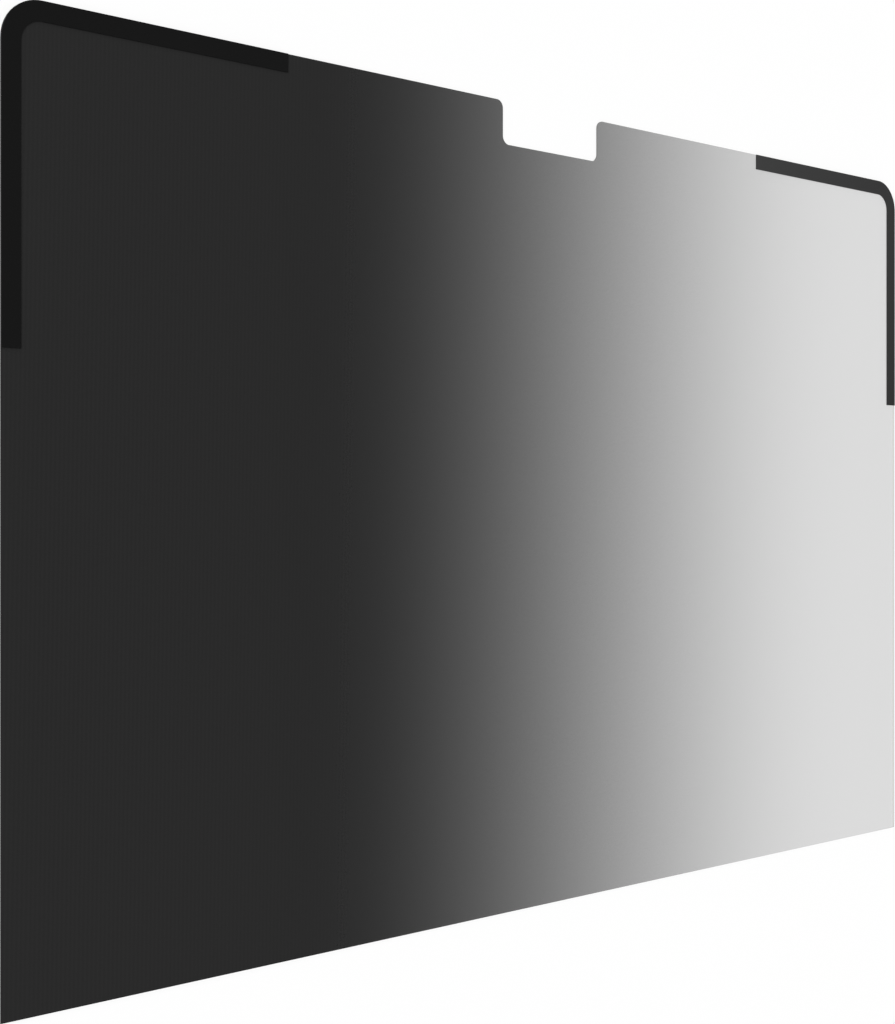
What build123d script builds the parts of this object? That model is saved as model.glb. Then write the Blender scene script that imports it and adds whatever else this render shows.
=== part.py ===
"""Privacy filter for a notched laptop screen: a thin louvre-film sheet with two corner strips.

The sheet lies flat with its strip side up. X runs along the screen's width, Y towards the edge with
the camera notch, and Z up out of the face that carries the strips. The origin is on the underside,
below the middle of the sheet. All sizes are in millimetres.
"""

import os

from build123d import *

# Film sheet
sheet_width = 308.0
sheet_height = 203.4
sheet_thickness = 0.4
upper_corner_radius = 8.8

# Camera notch in the middle of the upper edge
notch_width = 34.4
notch_depth = 10.9
notch_mouth_radius = 2.0
notch_floor_radius = 2.1

# Corner strips, die cut from flexible magnet and bonded to the film's face
strip_width = 4.2
strip_thickness = 0.3
strip_top_arm = 70.0
strip_side_arm = 70.0

# Places worked out from the sizes above
left_edge = -sheet_width / 2
upper_edge = sheet_height / 2

# The film is one sheet, cut to its outline: square lower corners, rounded upper corners and a notch
# whose mouth and floor are both rounded, so that the film has no sharp point to peel from.
with BuildPart() as filter_sheet:
    with BuildSketch() as sheet_outline:
        Rectangle(sheet_width, sheet_height)
        with Locations((0, upper_edge)):
            Rectangle(notch_width, notch_depth, align=(Align.CENTER, Align.MAX), mode=Mode.SUBTRACT)
        notch_floor_corners = sheet_outline.vertices().group_by(Axis.Y)[1]
        fillet(notch_floor_corners, radius=notch_floor_radius)
        upper_points = sheet_outline.vertices().group_by(Axis.Y)[-1].sort_by(Axis.X)
        fillet(upper_points[1:-1], radius=notch_mouth_radius)
        upper_points = sheet_outline.vertices().group_by(Axis.Y)[-1].sort_by(Axis.X)
        fillet([upper_points[0], upper_points[-1]], radius=upper_corner_radius)
    extrude(amount=sheet_thickness)

# Each strip runs flush with the film's outer edge. Its outer line is the film's own corner, and its
# inner line is that corner offset by the strip's width, so both bends share one centre.
with BuildPart() as left_corner_strip:
    with BuildSketch(Plane.XY.offset(sheet_thickness)):
        with BuildLine():
            FilletPolyline(
                (left_edge, upper_edge - strip_side_arm),
                (left_edge, upper_edge),
                (left_edge + strip_top_arm, upper_edge),
                radius=upper_corner_radius,
            )
            offset(amount=strip_width, side=Side.RIGHT)
        make_face()
    extrude(amount=strip_thickness)

with BuildPart() as right_corner_strip:
    mirror(left_corner_strip.part, about=Plane.YZ)

filter_sheet.part.label = "filter_sheet"
left_corner_strip.part.label = "left_corner_strip"
right_corner_strip.part.label = "right_corner_strip"

os.makedirs("parts", exist_ok=True)
for piece in (filter_sheet.part, left_corner_strip.part, right_corner_strip.part):
    export_step(piece, f"parts/{piece.label}.step")
    print(piece.label, "volume", round(piece.volume, 2), "box", piece.bounding_box())
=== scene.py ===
# %% [markdown]
# # A laptop privacy filter
#
# The object is a thin sheet of louvre film that is laid over a laptop's screen. Fine upright slats
# sealed in the film let light out straight ahead and stop it to the sides, so the film looks clear
# where its slats point at the eye and nearly black where they don't. A black strip of flexible
# magnet is bonded to each upper corner. The sheet can't stand by itself, so it lies on a white floor
# with its strips up.
#
# The solids already have the right shape and size. This lesson gives them their finishes, then adds
# the floor, the light and the camera.

# %% Load the solids
import math

import bpy
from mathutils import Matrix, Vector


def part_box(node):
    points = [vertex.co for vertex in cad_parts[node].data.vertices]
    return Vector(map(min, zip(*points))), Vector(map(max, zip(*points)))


MM = 0.001

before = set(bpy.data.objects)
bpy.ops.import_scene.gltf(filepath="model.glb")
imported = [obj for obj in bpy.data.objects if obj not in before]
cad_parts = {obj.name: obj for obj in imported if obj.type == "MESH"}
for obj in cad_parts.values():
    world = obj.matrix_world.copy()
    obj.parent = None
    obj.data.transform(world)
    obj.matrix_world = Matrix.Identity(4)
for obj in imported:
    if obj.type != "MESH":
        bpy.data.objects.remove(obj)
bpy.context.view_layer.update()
film_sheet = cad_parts["filter_sheet"]
left_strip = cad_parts["left_corner_strip"]
right_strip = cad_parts["right_corner_strip"]
sheet_low, sheet_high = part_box("filter_sheet")
sheet_width = sheet_high.x - sheet_low.x
print("Sheet in mm:", [round(size / MM, 2) for size in sheet_high - sheet_low])

# %% [markdown]
# ## Helpers for every material
#
# Blender counts colour in linear light, but a colour is easier to pick as an sRGB hex value, so one
# function turns the second into the first. A material is a tree of nodes. One more function adds a
# node, sets its options and fills its inputs, each with a plain value or with another node's output,
# so that a material reads from top to bottom like a recipe. Nodes could also be made first and linked
# later, but then each step of the recipe would stand in two places.

# %% Colour and nodes
def linear(hex_colour):
    """Turns an sRGB hex colour into linear red, green, blue and alpha, by the standard's own formula."""
    channels = [int(hex_colour[i : i + 2], 16) / 255 for i in (1, 3, 5)]
    return [c / 12.92 if c <= 0.04045 else ((c + 0.055) / 1.055) ** 2.4 for c in channels] + [1.0]


def add_node(tree, kind, options, inputs):
    """Adds a node to a tree, with its options by name and its inputs by name or number."""
    node = tree.nodes.new("ShaderNode" + kind)
    for name, value in options.items():
        setattr(node, name, value)
    for name, value in inputs.items():
        if isinstance(value, bpy.types.NodeSocket):
            tree.links.new(value, node.inputs[name])
        else:
            node.inputs[name].default_value = value
    return node


def start_material(name, *pieces):
    """Gives the pieces a new material in place of their old ones, and returns its empty tree."""
    material = bpy.data.materials.new(name)
    material.use_nodes = True
    material.node_tree.nodes.clear()
    for piece in pieces:
        piece.data.materials.clear()
        piece.data.materials.append(material)
    return material.node_tree


# A colour Mix node has inputs and an output for every kind of data: these are its colour ones.
MIX_A, MIX_B, MIX_OUT = 6, 7, 2
print("Mid grey #808080 is", round(linear("#808080")[0], 3), "in linear light")

# %% [markdown]
# ## The louvre film
#
# The real film is clear polyester around a louvre core: black slats a few hundredths of a millimetre
# apart. Slats that fine can't be modelled, and their effect depends on where one looks from, which a
# finish shouldn't. So the film is drawn as it is best known, part closed and part open: a ramp along
# the sheet runs from black to as clear as such film gets, where it passes about three quarters of
# the light. Transmission could let light through too, but it is meant for glass, which bends it. The
# film is too thin to bend what is behind it, so Alpha is the right input.
#
# The ramp eases in and out, so a Map Range node with smoother steps makes it, and it leans a little,
# so its axis isn't quite X. It says how much light passes the whole sheet. A ray crosses an upper and
# a lower face, so each face lets through the square root of that.

# %% Film: how clear it is
# The ramp's ends are counted along the width from the middle of the sheet. Going up the sheet, each
# line of equal clearness leans to the right by this share of its height.
RAMP_START = -89 * MM
RAMP_END = 150 * MM
RAMP_LEAN = 0.0165
LIGHT_PASSED = 0.745

film_tree = start_material("louvre_film_with_anti_glare_coat", film_sheet)
film_place = add_node(film_tree, "TexCoord", {}, {})
along_ramp = add_node(
    film_tree,
    "VectorMath",
    {"operation": "DOT_PRODUCT"},
    {0: film_place.outputs["Object"], 1: (1.0, -RAMP_LEAN, 0.0)},
)
passed = add_node(
    film_tree,
    "MapRange",
    {"interpolation_type": "SMOOTHERSTEP"},
    {
        "Value": along_ramp.outputs["Value"],
        "From Min": RAMP_START,
        "From Max": RAMP_END,
        "To Min": 0.0,
        "To Max": LIGHT_PASSED,
    },
)
passed_by_face = add_node(film_tree, "Math", {"operation": "SQRT"}, {0: passed.outputs["Result"]})
print("The film clears over", round((RAMP_END - RAMP_START) / MM), "mm of its width")

# %% [markdown]
# The film has an anti-glare coat: a hard lacquer with silica grains in it. It kills mirror images, so
# its roughness is high for a plastic film, and it reflects less than bare polyester, which the
# specular level will say. The shader has a separate coat layer, but that is for a gloss over a duller
# base. Here the coat is the dull one and hides what is under it, so its roughness is the film's own.
#
# The grains are hundredths of a millimetre across and wouldn't show, so they are drawn at half a
# millimetre. One noise texture stands for them: it gives a little bump, uneven roughness, and a haze
# that is a shade thicker here and thinner there.

# %% Film: anti-glare coat
GRAIN_SIZE = 0.5 * MM
GRAIN_DETAIL = 1.0
GRAIN_HEIGHT = 0.004 * MM
COAT_SMOOTHEST, COAT_ROUGHEST = 0.40, 0.52
HAZE_VARIES = 0.008

# A noise texture counts from 0 to 1, but nearly all of it lies between these two.
NOISE_LOW, NOISE_HIGH = 0.3, 0.7

grain = add_node(
    film_tree,
    "TexNoise",
    {},
    {"Vector": film_place.outputs["Object"], "Scale": 1 / GRAIN_SIZE, "Detail": GRAIN_DETAIL},
)
coat_bump = add_node(
    film_tree,
    "Bump",
    {},
    {"Distance": GRAIN_HEIGHT, "Height": grain.outputs["Fac"]},
)
coat_roughness = add_node(
    film_tree,
    "MapRange",
    {},
    {
        "Value": grain.outputs["Fac"],
        "From Min": NOISE_LOW,
        "From Max": NOISE_HIGH,
        "To Min": COAT_SMOOTHEST,
        "To Max": COAT_ROUGHEST,
    },
)
haze = add_node(
    film_tree,
    "MapRange",
    {},
    {
        "Value": grain.outputs["Fac"],
        "From Min": NOISE_LOW,
        "From Max": NOISE_HIGH,
        "To Min": -HAZE_VARIES,
        "To Max": HAZE_VARIES,
    },
)
passed_with_haze = add_node(
    film_tree,
    "Math",
    {"operation": "ADD"},
    {0: passed_by_face.outputs["Value"], 1: haze.outputs["Result"]},
)
print("Silica grains across the sheet:", round(sheet_width / GRAIN_SIZE))

# %% [markdown]
# The louvres leave faint upright lines in the dark part. These too are finer than the eye can follow,
# so they are drawn a millimetre apart, as two blacks that differ very little. A Wave texture could
# draw them, but a sine of the distance along the ramp keeps them in line with it.

# %% Film: louvre lines
LOUVRE_PITCH = 1.0 * MM
SLAT_BLACK = "#272727"
GAP_BLACK = "#292929"

louvre_turns = add_node(
    film_tree,
    "Math",
    {"operation": "MULTIPLY"},
    {0: along_ramp.outputs["Value"], 1: math.tau / LOUVRE_PITCH},
)
louvre_wave = add_node(film_tree, "Math", {"operation": "SINE"}, {0: louvre_turns.outputs["Value"]})
louvre_share = add_node(
    film_tree,
    "MapRange",
    {},
    {"Value": louvre_wave.outputs["Value"], "From Min": -1.0, "From Max": 1.0},
)
film_colour = add_node(
    film_tree,
    "Mix",
    {"data_type": "RGBA"},
    {"Factor": louvre_share.outputs["Result"], MIX_A: linear(SLAT_BLACK), MIX_B: linear(GAP_BLACK)},
)
print("Louvre lines across the sheet:", round(sheet_width / LOUVRE_PITCH))

# %% [markdown]
# The cut edge is duller than the faces, because the die tears the layers. A second material on the
# edge's faces would need them picked out one by one. The surface's own direction tells them apart as
# well: a face that points neither up nor down is edge, and passes less light.

# %% Film: cut edge
EDGE_PASSES = 0.85

facing = add_node(film_tree, "NewGeometry", {}, {})
facing_up = add_node(film_tree, "SeparateXYZ", {}, {"Vector": facing.outputs["True Normal"]})
flatness = add_node(film_tree, "Math", {"operation": "ABSOLUTE"}, {0: facing_up.outputs["Z"]})
edge_dulling = add_node(
    film_tree,
    "MapRange",
    {},
    {"Value": flatness.outputs["Value"], "To Min": EDGE_PASSES, "To Max": 1.0},
)
passed_at_last = add_node(
    film_tree,
    "Math",
    {"operation": "MULTIPLY"},
    {0: passed_with_haze.outputs["Value"], 1: edge_dulling.outputs["Result"]},
)
print("The cut edge passes", EDGE_PASSES, "of what a face does")

# %% [markdown]
# All of that meets in one shader. Mixing a Diffuse and a Transparent shader would give black and clear
# too, but not the polyester's sheen, and the Principled shader is the one that other programs read. To
# the eye it gives a soft black that never mirrors, a grey sheen at low angles, and a clear end that
# only dims the paper under it. Alpha is what doesn't pass.

# %% Film: surface
POLYESTER_IOR = 1.57
COAT_SPECULAR_LEVEL = 0.03

film_alpha = add_node(
    film_tree,
    "Math",
    {"operation": "SUBTRACT", "use_clamp": True},
    {0: 1.0, 1: passed_at_last.outputs["Value"]},
)
film_surface = add_node(
    film_tree,
    "BsdfPrincipled",
    {},
    {
        "Base Color": film_colour.outputs[MIX_OUT],
        "Alpha": film_alpha.outputs["Value"],
        "Roughness": coat_roughness.outputs["Result"],
        "Normal": coat_bump.outputs["Normal"],
        "IOR": POLYESTER_IOR,
        "Specular IOR Level": COAT_SPECULAR_LEVEL,
    },
)
add_node(film_tree, "OutputMaterial", {}, {"Surface": film_surface.outputs["BSDF"]})
print("The film's material has", len(film_tree.nodes), "nodes")

# %% [markdown]
# ## The magnet strips
#
# The strips are flexible magnet: ferrite powder in rubber, rolled to a thin band and die cut. Rolled
# rubber is matte and nearly black. Its sheen is painted into its colour: the strip by the dark end is
# almost bare black, and the one by the clear end is painted greyer, most of all at its inner tip. A
# material for each strip could say so, but painting them by their place on the sheet needs only one: a
# ramp across the width tells the two strips apart, and another fades the painted sheen away from that
# tip.

# %% Strips: rubber and painted sheen
# Bare rubber's colour, then the colour of the fullest painted sheen, which fades by a share over a
# length away from the right strip's inner tip.
BARE_RUBBER = "#0F0F0F"
FULL_PAINTED_SHEEN = "#393939"
PAINTED_SHEEN_FADES = 0.45
FADE_LENGTH = 105 * MM

left_low, left_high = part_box("left_corner_strip")
right_low, right_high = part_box("right_corner_strip")
# The painted sheen is lightest at the right strip's inner tip.
painted_sheen_tip = (right_low.x, right_high.y, 0.0)

strip_tree = start_material("calendered_ferrite_rubber", left_strip, right_strip)
strip_place = add_node(strip_tree, "TexCoord", {}, {})
across = add_node(strip_tree, "SeparateXYZ", {}, {"Vector": strip_place.outputs["Object"]})
# Painted sheen: none on the left strip, full on the right one.
painted_sheen_by_side = add_node(
    strip_tree,
    "MapRange",
    {},
    {"Value": across.outputs["X"], "From Min": left_high.x, "From Max": right_low.x},
)
from_tip = add_node(
    strip_tree,
    "VectorMath",
    {"operation": "DISTANCE"},
    {0: strip_place.outputs["Object"], 1: painted_sheen_tip},
)
painted_sheen_by_tip = add_node(
    strip_tree,
    "MapRange",
    {},
    {
        "Value": from_tip.outputs["Value"],
        "From Min": 0.0,
        "From Max": FADE_LENGTH,
        "To Min": 1.0,
        "To Max": 1.0 - PAINTED_SHEEN_FADES,
    },
)
painted_sheen_share = add_node(
    strip_tree,
    "Math",
    {"operation": "MULTIPLY"},
    {0: painted_sheen_by_side.outputs["Result"], 1: painted_sheen_by_tip.outputs["Result"]},
)
# The painted sheen grows across this span of x.
print("Bloom grows from x =", round(left_high.x / MM), "to", round(right_low.x / MM), "mm")

# %% [markdown]
# The rollers leave a leathery grain of about a tenth of a millimetre. It is drawn at a third of a
# millimetre, so that it shows: as a faint mottling of the painted sheen, and as a bump and an uneven
# roughness that break up the sheen along the strip. Displacement would make the grain real, but it is
# far too shallow to be seen in outline, so bump is enough.

# %% Strips: grain
RUBBER_GRAIN = 0.35 * MM
RUBBER_GRAIN_DETAIL = 2.0
RUBBER_GRAIN_HEIGHT = 0.02 * MM
RUBBER_SMOOTHEST, RUBBER_ROUGHEST = 0.62, 0.78
MOTTLING = 0.012

rubber_grain = add_node(
    strip_tree,
    "TexNoise",
    {},
    {
        "Vector": strip_place.outputs["Object"],
        "Scale": 1 / RUBBER_GRAIN,
        "Detail": RUBBER_GRAIN_DETAIL,
    },
)
rubber_bump = add_node(
    strip_tree,
    "Bump",
    {},
    {"Distance": RUBBER_GRAIN_HEIGHT, "Height": rubber_grain.outputs["Fac"]},
)
rubber_roughness = add_node(
    strip_tree,
    "MapRange",
    {},
    {
        "Value": rubber_grain.outputs["Fac"],
        "From Min": NOISE_LOW,
        "From Max": NOISE_HIGH,
        "To Min": RUBBER_SMOOTHEST,
        "To Max": RUBBER_ROUGHEST,
    },
)
mottling = add_node(
    strip_tree,
    "MapRange",
    {},
    {
        "Value": rubber_grain.outputs["Fac"],
        "From Min": NOISE_LOW,
        "From Max": NOISE_HIGH,
        "To Min": -MOTTLING,
        "To Max": MOTTLING,
    },
)
# The grain mottles the painted sheen.
painted_sheen_with_mottling = add_node(
    strip_tree,
    "Math",
    {"operation": "ADD", "use_clamp": True},
    {0: painted_sheen_share.outputs["Value"], 1: mottling.outputs["Result"]},
)
print("Rubber grains along an arm:", round((left_high.y - left_low.y) / RUBBER_GRAIN))

# %% [markdown]
# Grain and painted sheen meet in the strips' own shader. Ferrite is a metal oxide, so a metallic
# shader might seem right, but the powder is buried in rubber, and it is the rubber that one sees. Its
# sheen is painted into its colour, so its specular level is low.

# %% Strips: surface
RUBBER_IOR = 1.52
RUBBER_SPECULAR_LEVEL = 0.08

# The painted sheen greys the bare rubber's colour.
rubber_colour = add_node(
    strip_tree,
    "Mix",
    {"data_type": "RGBA"},
    {
        "Factor": painted_sheen_with_mottling.outputs["Value"],
        MIX_A: linear(BARE_RUBBER),
        MIX_B: linear(FULL_PAINTED_SHEEN),
    },
)
rubber_surface = add_node(
    strip_tree,
    "BsdfPrincipled",
    {},
    {
        "Base Color": rubber_colour.outputs[MIX_OUT],
        "Roughness": rubber_roughness.outputs["Result"],
        "Normal": rubber_bump.outputs["Normal"],
        "IOR": RUBBER_IOR,
        "Specular IOR Level": RUBBER_SPECULAR_LEVEL,
    },
)
add_node(strip_tree, "OutputMaterial", {}, {"Surface": rubber_surface.outputs["BSDF"]})
print("The strips' material has", len(strip_tree.nodes), "nodes")

# %% [markdown]
# ## The floor
#
# The sheet lies on a white paper sweep, wide enough to reach the horizon in a low view. Blender's
# add-plane operator could make it, but an operator depends on what is selected at the time. Four
# corners given straight to a mesh don't. The floor is a hair below the film, because two faces at one
# height flicker.

# %% Floor: paper
FLOOR_REACH = 20.0
FLOOR_DROP = 0.1 * MM


def add_object(name, data):
    """Puts new data, such as a mesh, a lamp or a camera, into the scene as an object."""
    thing = bpy.data.objects.new(name, data)
    bpy.context.scene.collection.objects.link(thing)
    return thing


floor_mesh = bpy.data.meshes.new("floor")
floor_corners = [(-1, -1), (1, -1), (1, 1), (-1, 1)]
floor_mesh.from_pydata(
    [(x * FLOOR_REACH, y * FLOOR_REACH, sheet_low.z - FLOOR_DROP) for x, y in floor_corners],
    [],
    [range(len(floor_corners))],
)
floor = add_object("floor", floor_mesh)
print("Floor is", 2 * FLOOR_REACH, "m wide")

# %% [markdown]
# A floor that is only lit would show every unevenness of the light, so most of what the eye sees of
# it is an even white glow, and the rest is plain matte paper, which keeps the object's shadow. The
# Light Path node limits the glow to what is looked at, mirrored or seen through glass, so that it
# doesn't light the object.

# %% Floor: glow
PAPER_WHITE = "#FAFAFA"
GLOW_WHITE = "#FFFFFF"
GLOW_STRENGTH = 1.0
GLOW_SHARE = 0.8

floor_tree = start_material("white_paper_sweep", floor)
ray = add_node(floor_tree, "LightPath", {}, {})
looked_at = add_node(
    floor_tree,
    "Math",
    {"operation": "MAXIMUM"},
    {0: ray.outputs["Is Camera Ray"], 1: ray.outputs["Is Glossy Ray"]},
)
seen = add_node(
    floor_tree,
    "Math",
    {"operation": "MAXIMUM"},
    {0: looked_at.outputs["Value"], 1: ray.outputs["Is Transmission Ray"]},
)
glow_share = add_node(
    floor_tree,
    "Math",
    {"operation": "MULTIPLY"},
    {0: seen.outputs["Value"], 1: GLOW_SHARE},
)
paper = add_node(floor_tree, "BsdfDiffuse", {}, {"Color": linear(PAPER_WHITE)})
glow = add_node(floor_tree, "Emission", {}, {"Color": linear(GLOW_WHITE), "Strength": GLOW_STRENGTH})
floor_surface = add_node(
    floor_tree,
    "MixShader",
    {},
    {0: glow_share.outputs["Value"], 1: paper.outputs["BSDF"], 2: glow.outputs["Emission"]},
)
add_node(floor_tree, "OutputMaterial", {}, {"Surface": floor_surface.outputs["Shader"]})
print("Share of the floor's white that glows:", GLOW_SHARE)

# %% [markdown]
# ## Light
#
# A flat dark sheet mirrors whatever is above it, so the room matters more than the lamps. Area lamps
# overhead could light it, but each would lie on the film as a grey patch. This studio has white walls
# and a dark ceiling instead: the walls give the background and the sheen in low views, and the ceiling
# leaves the film its depth when one looks down on it.

# %% Studio walls and ceiling
# Angles are counted from straight overhead.
CEILING_ANGLE = math.radians(28)
WALL_ANGLE = math.radians(62)
CEILING_LIGHT = 0.05
WALL_LIGHT = 1.0

world = bpy.data.worlds.new("studio")
world.use_nodes = True
world.node_tree.nodes.clear()
bpy.context.scene.world = world
direction = add_node(world.node_tree, "TexCoord", {}, {})
upward = add_node(world.node_tree, "SeparateXYZ", {}, {"Vector": direction.outputs["Generated"]})
room_light = add_node(
    world.node_tree,
    "MapRange",
    {"interpolation_type": "SMOOTHSTEP"},
    {
        "Value": upward.outputs["Z"],
        "From Min": math.cos(WALL_ANGLE),
        "From Max": math.cos(CEILING_ANGLE),
        "To Min": WALL_LIGHT,
        "To Max": CEILING_LIGHT,
    },
)
room = add_node(world.node_tree, "Background", {}, {"Color": room_light.outputs["Result"]})
add_node(world.node_tree, "OutputWorld", {}, {"Surface": room.outputs["Background"]})
print("The walls shine at", WALL_LIGHT, "and the ceiling at", CEILING_LIGHT)

# %% [markdown]
# One broad lamp from the camera's side brings the light on the floor up to the level at which white
# paper is white. An area lamp would be brighter near than far, and the floor is wide, so a sun lamp
# with a wide angle stands for a large softbox.

# %% Lamp
# This angle too is counted from straight overhead.
LAMP_ANGLE = math.radians(40)
LAMP_SPREAD = math.radians(40)
LAMP_STRENGTH = 2.2

lamp_data = bpy.data.lights.new("softbox", "SUN")
lamp_data.energy = LAMP_STRENGTH
lamp_data.angle = LAMP_SPREAD
lamp = add_object("softbox", lamp_data)
lamp.rotation_euler = (0, -LAMP_ANGLE, 0)
print("The lamp adds", round(LAMP_STRENGTH * math.cos(LAMP_ANGLE) / math.pi, 2), "of paper white")

# %% [markdown]
# ## Camera
#
# A camera that isn't turned looks straight down with +Y up in the picture, which is the sheet's own
# top view. Turning it about Y alone swings it off to the dark side, so the sheet's left and right
# edges stay upright in the picture while its long edges run together. Tilting it to set the sheet's
# height in the picture would make those upright edges lean, so a small lens shift does that instead.
# Place, turn and lens were worked out from the sheet's edges in the reference picture, measured at
# the film's upper face.

# %% Camera
# Lens and sensor are in millimetres, and the shift is a share of the picture's longer side.
CAMERA_PLACE = (-314.78 * MM, 1.26 * MM, 311.25 * MM + sheet_high.z)
CAMERA_TURN = math.radians(-41.868)
CAMERA_LENS = 60.488
CAMERA_SENSOR = 36.0
CAMERA_SHIFT = -0.00998
NEAREST_SEEN = 10 * MM
FARTHEST_SEEN = 4 * FLOOR_REACH

camera_data = bpy.data.cameras.new("camera")
camera_data.lens = CAMERA_LENS
camera_data.sensor_width = CAMERA_SENSOR
camera_data.shift_y = CAMERA_SHIFT
camera_data.clip_start = NEAREST_SEEN
camera_data.clip_end = FARTHEST_SEEN
camera = add_object("camera", camera_data)
camera.location = CAMERA_PLACE
camera.rotation_euler = (0, CAMERA_TURN, 0)
bpy.context.scene.camera = camera
bpy.context.scene.view_settings.view_transform = "Standard"
print("Camera stands", round(camera.location.length, 3), "m from the middle of the sheet")
